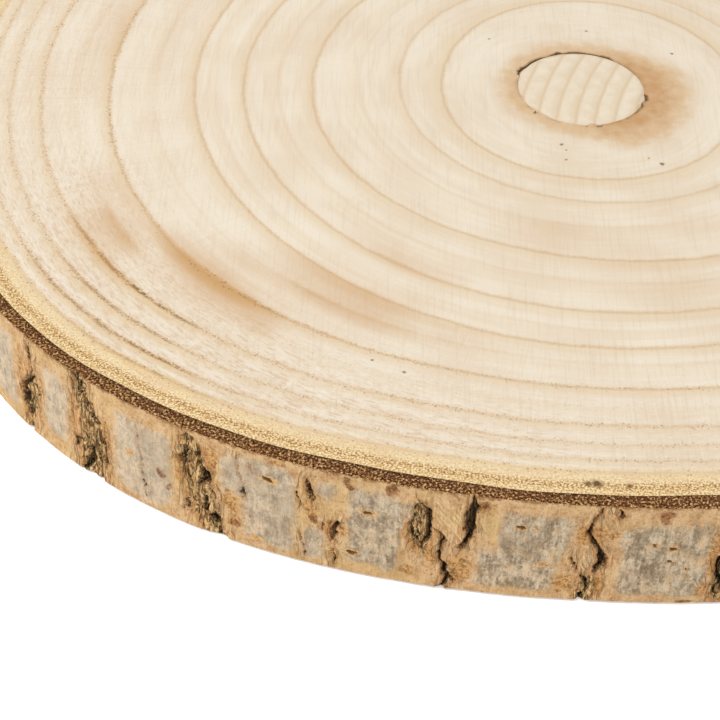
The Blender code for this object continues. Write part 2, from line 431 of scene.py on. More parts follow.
# the rest of the way round, by chance, on the same fissures as the CAD slice
def growHiddenBark():
    draw = random.Random(bark["fissureSeed"]).uniform
    spots = []
    direction, last = bark["hidden"]
    while direction < last:
        lean, width = draw(-2.5, 2.5), draw(3.4, 6.8)
        draw(1.2, 3.0)  # drawn for the CAD fissure's depth, so the draws stay in step
        low, high = draw(-0.2, 0.4), draw(0.6, 1.1)
        spots.append((direction, lean, width, low, high))
        direction += draw(7.0, 13.0)
    chance = random.Random(bark["detailSeed"])
    draw = chance.uniform
    tall = slab["thickness"]
    ends = [bark["lastSeen"]] + [(spot[0], spot[2]) for spot in spots] + [bark["firstSeen"]]
    for (a, wideA), (b, wideB) in zip(ends, ends[1:]):
        low = a + (wideA / 2 + draw(1.0, 2.6)) / slab["mmPerDegree"]
        high = b - (wideB / 2 + draw(1.0, 2.6)) / slab["mmPerDegree"]
        if high - low < 1.2:
            continue
        split = draw(8, 17)
        slide = draw(-0.9, 0.9)
        bark["plates"] += [(low, high - max(slide, 0), draw(1.8, 4.5), split + 1.5),
                           (low - min(slide, 0), high, split - 1.5, tall - draw(1.8, 4.0))]
        for n in range(chance.choice((0, 1, 1, 2, 3))):
            place = draw(low + 0.7, high - 0.7), draw(4, 21)
            size = draw(0.7, 1.8), draw(0.5, 0.8)
            bark["pores"].append((*place, *size, draw(0.2, 1)))
        for n in range(chance.choice((0, 1, 2))):
            place = draw(low, high), chance.choice((draw(1, 3), draw(4, 24)))
            size = draw(0.8, 1.8), draw(0.8, 2.2)
            bark["rust"].append((*place, *size, draw(0.5, 1)))
        if chance.random() < 0.4:
            start = draw(low, high)
            count = chance.choice((2, 3, 5))
            bark["cracks"].append([(start + draw(-0.2, 0.2) * k, 3 + 4 * k, draw(0.06, 0.2))
                                   for k in range(count)])
    for direction, lean, width, low, high in spots:
        top, bottom = (1 - high) * tall - 0.5, (1 - low) * tall + 0.5
        top, bottom = max(top, 0.4), min(bottom, tall + 0.5)
        count = max(4, round((bottom - top) / 2.6))
        drift = 0.0
        line = []
        for k in range(count + 1):
            down = top + (bottom - top) * k / count
            swell = math.sin(math.pi * min(max(k / count, 0.06), 0.97)) ** 0.6
            drift = 0.6 * drift + draw(-0.35, 0.35)
            line.append((direction + lean * (0.5 - down / tall) + drift, down,
                         swell * draw(0.25, 0.2 + width / 8)))
        bark["cracks"].append(line)
        place = direction + draw(-1.2, 1.2), draw(5, 20)
        size = draw(0.8, 1.8), draw(2, 6)
        bark["golden"].append((*place, *size, draw(0.7, 1.1)))
        if chance.random() < 0.6:
            bark["fissures"].append([(d, down, width / 2 * (0.35 + 0.65 * wide / 0.7))
                                     for d, down, wide in line])
            for side in (-1, 1):
                k = chance.randrange(count - 1)
                bark["cracks"].append([(d + side * draw(0.4, 0.9), down, 0.5 * wide + 0.1)
                                       for d, down, wide in line[k:k + 3]])
        else:
            side = chance.choice((-1, 1))
            d, down, wide = line[count // 2]
            bark["flakes"].append((d + side * 0.9, down, draw(1.2, 2.6), draw(2.5, 5),
                                   draw(-20, 20), draw(0.4, 0.9)))
            bark["golden"].append((d - side * 0.6, down + draw(-5, 5), 1.3, 2.4, 1.0))


def alongLine(direction, down, line):  # mm inside the line's own width: above 0 in it, below 0 outside
    best = np.full(len(direction), -6.0)
    near = np.abs(turned(direction, line[0][0])) < 7
    across = turned(direction[near], line[0][0]) * slab["mmPerDegree"]
    y = down[near]
    found = best[near]
    for (a, aDown, aWide), (b, bDown, bWide) in zip(line, line[1:]):
        ax = (a - line[0][0]) * slab["mmPerDegree"]
        run = np.array([(b - a) * slab["mmPerDegree"], bDown - aDown])
        t = np.clip(((across - ax) * run[0] + (y - aDown) * run[1]) / (run @ run), 0, 1)
        gap = np.hypot(across - ax - t * run[0], y - aDown - t * run[1])
        found = np.maximum(found, aWide + t * (bWide - aWide) - gap)
    best[near] = found
    return best


def insidePlate(direction, down, plate):  # mm inside a rectangle with round corners
    low, high, top, bottom = plate
    x = np.abs(turned(direction, (low + high) / 2)) * slab["mmPerDegree"]
    y = np.abs(down - (top + bottom) / 2)
    halfX = (high - low) / 2 * slab["mmPerDegree"]
    halfY = (bottom - top) / 2
    corner = min(2.2, halfX * 0.8, halfY * 0.8)
    dx, dy = x - halfX + corner, y - halfY + corner
    return corner - np.hypot(np.maximum(dx, 0), np.maximum(dy, 0)) - np.minimum(np.maximum(dx, dy), 0)


def insideSpot(direction, down, spot, lean=0.0):  # 1 at a spot's middle, 0 on its edge
    x = turned(direction, spot[0]) * slab["mmPerDegree"]
    y = down - spot[1]
    c, s = math.cos(math.radians(lean)), math.sin(math.radians(lean))
    return 1 - np.hypot((c * x + s * y) / spot[2], (c * y - s * x) / spot[3])


def highest(measure, items, least=0.0):  # at each corner, the most that any of the items measures there
    for item in items:
        least = np.maximum(least, measure(item))
    return least


def barkRadius(angle):  # the inner edge of the bark, from the trunk's middle, at an angle in radians
    ripple = 0.22 * np.sin(9 * angle + 1.0) + 0.16 * np.sin(17 * angle + 2.0) + 0.08 * np.sin(41 * angle)
    return trunkOutline(angle) - bark["width"] - ripple


def makeBark():
    growHiddenBark()
    inner, outer = slab["radius"] - bark["width"], slab["radius"]
    piece = spinRing("bark", slab["middle"], inner, outer, bark["steps"], bark["stepCuts"],
                     bark["sawnRows"] - 1, bark["rows"] - 1)
    points = corners(piece)
    flat = points[:, :2] - slab["middle"]
    angle = np.arctan2(flat[:, 1], flat[:, 0])
    angle = angle - bark["crowding"] * np.sin(angle - math.radians(bark["fineSide"]))
    direction = np.degrees(angle) % 360
    out = np.clip((np.hypot(flat[:, 0], flat[:, 1]) - inner) / (outer - inner), 0, 1)
    down = slab["thickness"] - points[:, 2]
    skin = np.stack([outer * np.cos(angle), outer * np.sin(angle), points[:, 2]], 1)

    tall = skin * (1, 1, 0.45)
    sway = cloud(skin, 6.0, 2) * 0.6
    ragged = cloud(skin, 1.7, 1) * 0.45 + cloud(skin, 0.8, 12) * 0.18
    crackAt = direction + (ragged + 0.3 * sway) / slab["mmPerDegree"]
    crackDown = down + cloud(skin, 1.7, 3) * 0.5
    plateAt = direction + (sway + cloud(tall, 2.4, 9) * 0.5) / slab["mmPerDegree"]
    plateDown = down + cloud(skin, 6.0, 4) * 0.8

    def marks(items, low, high):  # each one's strength at its middle, fading out towards its edge
        return highest(lambda item: item[4] * smooth(insideSpot(crackAt, crackDown, item), low, high), items)

    plate = highest(lambda item: insidePlate(plateAt, plateDown, item), bark["plates"], -6.0)
    fissure = highest(lambda line: alongLine(crackAt, crackDown, line), bark["fissures"], -6.0)
    crack = highest(lambda line: alongLine(crackAt, crackDown, line) - 0.12, bark["cracks"], -6.0)
    flake = highest(lambda item: item[5] * smooth(insideSpot(crackAt, crackDown, item, item[4]), 0.0, 0.35),
                    bark["flakes"])
    pore = highest(lambda item: insideSpot(crackAt, crackDown, item), bark["pores"], -1.0)
    slits = [(*item[:2], item[2] * 0.9, item[3] * 0.7, item[4]) for item in bark["pores"]]
    slit = marks(slits, 0.0, 0.5)
    rust = marks(bark["rust"], -0.4, 0.8)
    golden = marks(bark["golden"], -0.7, 0.9)

    ledges = 1 - np.abs(cloud(tall, 1.5, 10))
    inward = 0.45 - bark["plateLift"] * smooth(plate, -1.4, 0.8)
    inward += 0.16 * cloud(skin, 14.0, 5) + 0.13 * cloud(tall, 1.3, 6)
    strands = np.abs(cloud(skin * (1, 1, 0.25), 1.5, 14))
    inward += smooth(fissure, -1.0, 1.2) * (0.3 + bark["fissureDepth"] * strands)
    inward += bark["crackDepth"] * smooth(crack, -0.14, 0.36)
    lips = smooth(crack, -1.3, -0.5) * (1 - smooth(crack, -0.5, -0.2))
    inward -= 0.30 * lips * (1 + cloud(skin, 2.0, 13))
    inward -= flake * (1 - smooth(crack, -0.3, 0.2)) * (1 + 0.15 * ledges)
    inward -= bark["poreLift"] * smooth(pore, -0.3, 0.3) - bark["slitDepth"] * slit
    edge = np.minimum(down, slab["thickness"] - down)
    inward = np.clip(inward, -0.1, bark["deepest"]) * smooth(edge, -1.2, 2.5)
    inward += 0.28 * (1 - smooth(edge, 0.0, 0.7))
    inward += 0.10 * (cloud(skin, 0.9, 8) + 1) * (1 - smooth(edge, 0.0, 0.5))
    inward = np.maximum(inward, marks(bark["chips"], 0.0, 0.5))

    innerEdge = barkRadius(angle)
    radius = innerEdge + out * (trunkOutline(angle) - inward - innerEdge)
    grain = 0.16 + 0.07 * cloud(skin * (1, 1, 0) + points * (0.3, 0.3, 0), 0.8, 7)
    sawn = np.where(edge < 0.01, grain * smooth(out, -0.1, 0.2) + 0.10 * smooth(out, 0.8, 1.0), 0)
    height = points[:, 2] + np.where(down < slab["thickness"] / 2, -sawn, sawn)
    setRound(piece, slab["middle"], radius, angle, height)
    # painted light: the plates are tinted paler on the side the key light comes from
    pale = smooth(np.cos(angle - math.radians(bark["paleSide"])), 0.80, 0.99)
    giveAttributes(piece, plate=plate, fissure=fissure, crack=crack, pore=pore, slit=slit, rust=rust,
                   golden=golden, flake=flake, down=down, pale=pale)

    # the strip of inner bark on both sawn faces has its own material
    piece.data.materials.append(barkMaterial())
    piece.data.materials.append(innerBarkMaterial())
    ends = faceEnds(piece)
    strip = (edge[ends] < 0.01).all(1)
    piece.data.polygons.foreach_set("material_index", strip.astype(np.int32))
    unrollBark(piece, ends, direction, out, points[:, 2])
    piece.data.shade_smooth()
    finishPiece(piece, "bark", "wood_slice")


# lays the band out in rows, so that its whole length fits a square map
def unrollBark(piece, ends, direction, out, height):
    rows = bark["mapRows"]
    turn = 360 / rows
    middle = direction[ends[:, 0]]
    middle = (middle + turned(direction[ends], middle[:, None]).mean(1)) % 360
    row = np.floor(middle / turn)
    u = 0.5 + (turned(direction[ends], (row[:, None] + 0.5) * turn)) / turn * 0.985
    side = out[ends].min(1) > 0.99
    hidden = out[ends].max(1) < 0.01
    top = height[ends].min(1) > slab["thickness"] - 0.01
    z = height[ends]
    wide = bark["width"]
    total = slab["thickness"] + 2 * wide + 1.5
    v = np.where(side[:, None], wide + z, wide * out[ends])
    v = np.where((top & ~side)[:, None], wide + slab["thickness"] + wide * (1 - out[ends]), v)
    v = np.where(hidden[:, None], total - 1.0 + z / slab["thickness"], v)
    v = (row[:, None] + 0.01 + 0.98 * v / total) / rows
    giveMap(piece, np.stack([u, v], -1))


def barkMaterial():
    material, shader, wire = newMaterial("corkyBark", 0.9)
    place = wire.place().mapped((1 / mm,) * 3)
    tall = place.mapped((1, 1, 0.3))  # stretched up the trunk
    grains = place.noise(0.36, 2, 0.65)
    fine = place.noise(0.8, 3, 0.7)
    lumps = place.noise(2.6, 3, 0.6)
    scratches = tall.noise(0.36, 2, 0.6)
    broad = place.noise(11)
    streaks = tall.noise(0.75, 3, 0.7)
    waves = place.mapped((1, 1, 0.35)).noise(1.5, 2, 0.6)
    fibres = place.mapped((1, 1, 0.14)).noise(0.42, 2, 0.6)
    plate, crack, fissure, pore, pale = map(wire.attribute, ("plate", "crack", "fissure", "pore", "pale"))

    # loose flakes have slanting scratches
    flake = wire.attribute("flake").step(0.1, 0.45)
    slanted = wire.node("ShaderNodeVectorRotate", {"rotation_type": "AXIS_ANGLE"},
                        {"Vector": place, "Axis": (0.25, 0.97, 0), "Angle": 0.6})
    combed = slanted.mapped((1, 1, 0.15)).noise(0.5, 2, 0.6)

    # thin layers of cork near the fissures, each with a painted highlight along its edge and a painted shadow
    # line under it
    layer = tall.noise(4.2) * 6
    part = layer.maths("FRACT", layer)
    nearby = (fissure.most(crack - 0.5) + lumps.sway(3)).step(-3.6, -0.6)
    under = (1 - part.step(0.0, 0.16)) * fine.step(0.35, 0.55)
    paintedLayerHighlight = part.step(0.10, 0.2) * (1 - part.step(0.2, 0.5))

    cork = wire.blend((188, 146, 99), (219, 181, 134), (lumps * 0.6 + fine * 0.4).step(0.36, 0.62)).layered(
        ((236, 206, 164), grains.step(0.54, 0.70) * 0.5),
        ((160, 112, 66), (1 - fine).step(0.54, 0.68) * 0.5),
        ((214, 182, 120), broad.step(0.45, 0.65) * 0.35),
        ((160, 112, 68), (1 - combed).step(0.5, 0.62) * flake * 0.5),
        ((238, 206, 156), combed.step(0.54, 0.64) * flake * 0.5),
        # painted shadow under each cork layer's edge, then a painted highlight along it
        ((150, 100, 56), under * nearby * 0.55),
        ((240, 208, 158), paintedLayerHighlight * nearby * 0.45),
        ((244, 214, 164), fibres.step(0.54, 0.64) * (nearby * 0.45 + 0.15)),
        ((140, 94, 50), (1 - fibres).step(0.54, 0.64) * (nearby * 0.45 + 0.12)))

    mottled = (streaks * 0.3 + fine * 0.3 + lumps * 0.4).step(0.38, 0.60)
    grey = wire.blend((140, 124, 100), (200, 181, 152), mottled).layered(
        ((238, 222, 194), scratches.step(0.54, 0.64) * 0.34),
        ((112, 94, 72), (1 - scratches).step(0.55, 0.66) * 0.28),
        ((240, 224, 192), (grains * 0.5 + fine * 0.5).step(0.53, 0.63) * 0.5),
        ((98, 78, 56), (1 - grains * 0.6 - fine * 0.4).step(0.55, 0.64) * 0.7),
        ((122, 102, 78), (1 - lumps * 0.5 - streaks * 0.5).step(0.53, 0.62) * 0.4),
        ((210, 170, 122), (lumps * 0.5 + streaks * 0.5).step(0.50, 0.60) * 0.55),
        ((124, 102, 86), broad.step(0.48, 0.66) * 0.35),
        ((244, 230, 204), waves.step(0.53, 0.62) * (0.26 - pale * 0.1)),
        ((106, 88, 66), (1 - waves).step(0.53, 0.62) * 0.36),
        # painted light, paler on the side the key light comes from
        ((226, 208, 182), pale * (0.16 + lumps * 0.45)))
    onPlate = (plate + lumps.sway(2.6) + streaks.sway(2.4) + grains.sway(1.4)).step(-0.6, 1.1)

    # golden cork beside the fissures, rusty speckled spots, and a rusty edge to the fissures
    golden = wire.attribute("golden")
    golden = (golden + streaks.sway(1.6) + lumps.sway(2.4)).step(0.0, 0.7) * golden.step(0.0, 0.6)
    fresh = wire.blend((140, 94, 46), (214, 164, 100), (fine * 0.6 + grains * 0.4).step(0.42, 0.56))
    rusty = wire.attribute("rust")
    rusty = (rusty + grains.sway(2.4) + lumps.sway(3.0)).step(0.1, 0.8) * rusty.step(0.0, 0.6)
    speckled = wire.blend((80, 46, 24), (168, 112, 66), (fine * 0.5 + grains * 0.5).step(0.42, 0.58))
    beside = (fissure.most(crack - 0.5) + lumps.sway(2.4)).step(-2.0, -0.3)

    # loose layers in the fissures, with lines of painted shade between them
    inFissure = (fissure + lumps.sway(2.0)).step(-0.7, 0.5)
    layers = wire.blend((122, 88, 46), (240, 202, 142), (streaks * 0.5 + fibres * 0.5).step(0.43, 0.55))
    paintedCreviceShade = 1 - abs(place.mapped((1, 1, 0.22)).noise(1.3, 1) - 0.5).step(0.004, 0.04)

    # pores have a light rim and a dark slit
    rim = (pore + fine.sway(0.6)).step(-0.45, 0.05)
    rimTone = wire.blend((190, 140, 84), (232, 190, 132), grains.step(0.4, 0.6))
    slit = (wire.attribute("slit") + fine.sway(0.9) + grains.sway(0.8)).step(0.14, 0.5)

    # brown crumbs of inner bark over the sawn corner
    corner = 1 - (wire.attribute("down") + fine.sway(2.2) + lumps.sway(2.4)).step(0.0, 0.8)

    # cracks get painted shade: dark inside, with pale fibres across their shallow parts
    inCrack = (crack + fine.sway(1.1) + grains.sway(1.0) + streaks.sway(0.6)).step(-0.12, 0.16)
    shallow = 1 - (crack + lumps.sway(1.2)).step(0.25, 0.9)
    deep = wire.blend((40, 30, 18), (168, 138, 94), fibres.step(0.50, 0.60) * (0.25 + shallow * 0.45))

    colour = cork.layered(
        (grey, onPlate * 0.9),
        (fresh, golden * 0.85),
        (speckled, rusty * 0.9),
        ((198, 134, 70), beside * (1 - onPlate * 0.6) * fine.step(0.35, 0.6) * 0.7),
        (layers, inFissure * 0.8),
        # painted shade between the loose layers in the fissures
        ((72, 50, 26), paintedCreviceShade * (fissure + fine.sway(2)).step(-1.2, 0.4) * 0.7),
        (rimTone, rim * 0.8),
        ((92, 58, 28), slit * 0.9),
        ((140, 96, 56), corner * 0.7),
        # painted shade inside the cracks
        (deep, inCrack * 0.94))
    height = lumps * 0.3 + streaks * 0.4 + fine * 0.35 + grains * 0.25
    height = height - inCrack * 0.8 - paintedCreviceShade * inFissure * 0.4
    height = height + (paintedLayerHighlight * 0.6 - under * 0.5) * (1 - onPlate) * nearby + fibres * 0.3
    finishMaterial(wire, shader, colour, height, 0.9, 1.0 * mm)
    return material


def innerBarkMaterial():
    material, shader, wire = newMaterial("innerBark", 0.95)
    place = wire.place().mapped((1 / mm, 1 / mm, 0))
    crumbs = place.noise(0.5, 2, 0.7)
    patches = place.noise(2.6, 3, 0.6)
    pits = place.noise(0.45, 1)
    brown = (crumbs * 0.7 + patches * 0.3).step(0.46, 0.60)
    colour = wire.blend((102, 58, 24), (200, 148, 90), brown).layered(
        ((46, 24, 8), (pits * 0.7 + patches * 0.3).step(0.52, 0.58) * 0.9),
        ((244, 204, 150), crumbs.step(0.57, 0.64) * 0.75))
    finishMaterial(wire, shader, colour, crumbs - pits.step(0.5, 0.66) * 0.6, 0.7, 0.5 * mm)
    return material


# The sawn wood. Rings: radius in mm, how closely it follows the bark's outline, sway and its direction,
# ovalness and its direction, and how strongly the line shows.
wood = {
    "steps": 48,
    "stepCuts": 9,
    "edgeRadius": 138.0,
    "rings": [
        (33.7, 0.4, 1.7, 4, 1.3, 83, 0.9), (42, 0.3, 1.3, 4, 0.8, 111, 0.65),
        (50.5, 0.3, 1, 0, 0.6, 100, 0.22), (61, 0.4, 3.6, -41, 1, 165, 0.9),
        (68, 0.3, 3, -41, 0.8, 165, 0.22), (75.8, 0.1, 2.4, -41, 0.4, -19, 0.9),
        (81.6, 0.1, 1.5, -41, 0, 0, 0.15), (86, 0, 1.3, -35, 0, 0, 0.9),
        (94, 0.35, 0.6, -35, 0, 0, 0.18), (103.6, 0.6, 0.5, -30, 0, 0, 1),
        (110.2, 0.7, 0.2, 0, 0, 0, 0.15), (117.3, 0.8, 0.3, 90, 0.8, -26, 0.8),
        (123.8, 0.9, 0.3, 90, 0.7, -24, 0.6), (128.9, 1, 0.2, 90, 0.7, -38, 0.65),
        (132.1, 1, 0, 0, 0.4, -26, 0.8), (135.9, 1, 0, 0, 0, 0, 1),
    ],
    "spacing": 2.3,  # between the mesh's own loops
    "streakySide": 232,  # the outer wood is roughest in this direction
    "haloReach": (6, 12),  # the brown wood round the plug, narrowest and widest, in mm
    "haloWideSide": -20,
    "haloDarkSide": -10,
    "mapLow": (-148, -146),
    "mapSize": 296,
    # darker stretches of line: radius, direction, half reach in degrees, how much
    "darkLines": [(117.3, 218, 14, 1), (123.8, 222, 14, 0.6), (103.6, 225, 9, 1.2), (128.9, 222, 18, 0.7)],
    # soft stains: direction, radius, half reach round in degrees, half reach outwards in mm, strength
    "stains": [
        (211, 112, 7, 10, 0.8), (223, 104.5, 16, 7, 1.2), (236, 90.5, 17, 9, 0.8), (262, 54, 16, 8, 0.3),
        (231, 96, 16, 14, 0.35), (231.5, 107, 5, 2.5, 1),
        (213, 118, 9, 3, 0.6), (250, 90, 14, 4, 0.3), (60, 60, 30, 9, 0.25), (20, 100, 24, 7, 0.3),
        (172, 107, 16, 6, 0.5), (206, 108, 10, 5, 0.5), (284, 62, 28, 26, 0.16), (240, 74, 14, 4, 0.5),
        (172, 92, 12, 6, 0.2), (330, 112, 20, 5, 0.4), (120, 92, 18, 8, 0.25), (90, 132, 22, 4, 0.3),
        (300, 88, 12, 6, 0.25),
    ],
    # small dark pits: place from the pith in mm, size
    "pits": [
        (-5.3, -21.5, 0.55), (-4.4, -23.5, 0.3), (-4.6, -27, 0.4), (15.7, -27, 0.7), (13, -25.2, 0.3),
        (-20, 18.5, 0.4), (2.5, 23.5, 0.4), (21.5, 15.5, 0.5), (-5.4, -123.1, 0.9), (-3.8, -123, 1.3),
        (1.9, -123.2, 0.8), (-38, -96, 0.5), (-44, -93, 0.4), (60, 48, 0.6), (-70, 70, 0.5),
    ],
    # gaps where the plug doesn't reach the edge of its hole: direction, half reach in degrees, width in mm
    "gaps": [
        (154, 13, 0.75), (136, 22, 0.35), (108, 5, 0.6), (90, 40, 0.34), (66, 14, 0.34), (-11, 8, 0.95),
        (-30, 16, 0.3), (224, 2.6, 0.7), (283, 4, 1.1), (272, 2, 0.4), (-48, 8, 0.2),
    ],
}


def woodEdge():  # the wood's outline round the pith, just under the bark's inner edge
    angle = np.linspace(0, 2 * math.pi, 7200, endpoint=False)
    reach = barkRadius(angle) + 0.05
    x = reach * np.cos(angle) - slab["pithOffset"][0]
    y = reach * np.sin(angle) - slab["pithOffset"][1]
    order = np.argsort(np.arctan2(y, x))
    return np.arctan2(y, x)[order], np.hypot(x, y)[order]


def plugGap(angle):
    gap = np.full(len(angle), -0.02)
    rim = np.stack([np.cos(angle), np.sin(angle), 0 * angle], 1) * slab["plugRadius"]
    ragged = 1 + 0.5 * cloud(rim, 1.3, 11)
    for middle, around, width in wood["gaps"]:
        near = 1 - np.abs(turned(np.degrees(angle), middle)) / around
        gap = np.maximum(gap, width * ragged * smooth(near, 0, 0.8) - 0.02)
    return gap


def makeWood():
    edgeAngle, edgeReach = woodEdge()
    marks = [slab["plugRadius"]] + [ring[0] for ring in wood["rings"]] + [wood["edgeRadius"]]
    counts = [max(2, round((b - a) / wood["spacing"])) for a, b in zip(marks, marks[1:])]
    loops = sum(counts)
    inner, outer = slab["plugRadius"], wood["edgeRadius"]
    piece = spinRing("end_grain_wood", slab["pith"], inner, outer, wood["steps"], wood["stepCuts"],
                     loops - 1, 0)
    points = corners(piece)
    flat = points[:, :2] - slab["pith"]
    angle = np.arctan2(flat[:, 1], flat[:, 0])
    degrees = np.degrees(angle)
    loop = np.round((np.hypot(flat[:, 0], flat[:, 1]) - inner) / (outer - inner) * loops).astype(int)

    edge = np.interp(angle, edgeAngle, edgeReach, period=2 * math.pi)
    gap = plugGap(angle)
    edges = [inner + gap]
    for radius, follow, sway, swayTo, oval, ovalTo, shown in wood["rings"]:
        line = radius * (edge / outer) ** follow + sway * towards(degrees, swayTo)
        edges.append(line + oval * np.cos(2 * np.radians(degrees - ovalTo)))
    edges = np.array(edges + [edge])

    # every loop lies a whole or part way between two rings, so ring lines fall on loops
    starts = np.concatenate([[0], np.cumsum(counts)])
    year = np.clip(np.searchsorted(starts, loop, side="right") - 1, 0, len(counts) - 1)
    part = (loop - starts[year]) / np.array(counts)[year]
    row = np.arange(len(points))
    radius = edges[year, row] * (1 - part) + edges[year + 1, row] * part
    setRound(piece, slab["pith"], radius, angle, points[:, 2])
    widths = np.diff(edges, axis=0)
    onLine = (widths[np.maximum(year - 1, 0), row] + widths[year, row]) / 2
    yearWidth = np.where(part < 1e-6, onLine, widths[year, row])
    stain = np.zeros(len(points))
    for direction, middle, around, outwards, strength in wood["stains"]:
        away = np.hypot(turned(degrees, direction) / around, (radius - middle) / outwards)
        stain = np.maximum(stain, strength * (1 - smooth(away, 0.2, 1.0)))
    strengths = np.array([0.0] + [ring[6] for ring in wood["rings"]] + [0.0])
    lineStrength = np.interp(year + part, np.arange(len(strengths)), strengths)
    for middle, direction, around, more in wood["darkLines"]:
        near = 1 - smooth(np.abs(radius - middle), 2.0, 5.0)
        lineStrength += more * near * (1 - smooth(np.abs(turned(degrees, direction)) / around, 0.3, 1.0))
    rough = smooth(towards(degrees, wood["streakySide"]), 0.72, 0.97)
    low, high = wood["haloReach"]
    reach = low + (high - low) * smooth(towards(degrees, wood["haloWideSide"]), 0.2, 0.95)
    halo = 1 - smooth((radius - inner) / reach, 0.0, 1.25)
    halo *= 0.55 + 0.50 * smooth(towards(degrees, wood["haloDarkSide"]), -0.1, 0.85)
    giveAttributes(piece, year=year + part, yearWidth=yearWidth, stain=stain, halo=halo, gap=gap,
                   lineStrength=lineStrength, streaky=smooth(radius, 98, 118) * (0.1 + 0.9 * rough),
                   toEdge=edge - radius)
    piece.data.materials.append(endGrainMaterial())

    # both faces share one map, as the rings run straight through, and the walls lie in its corners
    ends = faceEnds(piece)
    placed = corners(piece)[ends]
    uv = (placed[:, :, :2] - wood["mapLow"]) / wood["mapSize"]
    rise = placed[:, :, 2]
    wall = np.ptp(rise, axis=1) > 1
    around = degrees[ends] % 360
    split = np.ptp(around, axis=1)[:, None] > 180
    around = np.where(split & (around < 180), around + 360, around)
    corner = np.stack([0.005 + 0.07 * around / 360, 0.005 + 0.03 * rise / slab["thickness"]], -1)
    hole = wall & (loop[ends].max(1) == 0)
    corner[hole] += (0, 0.04)
    giveMap(piece, np.where(wall[:, None, None], corner, uv))
    piece.data.shade_smooth()
    piece.data.set_sharp_from_angle(angle=math.radians(40))
    finishPiece(piece, "end_grain", "wood_slice")


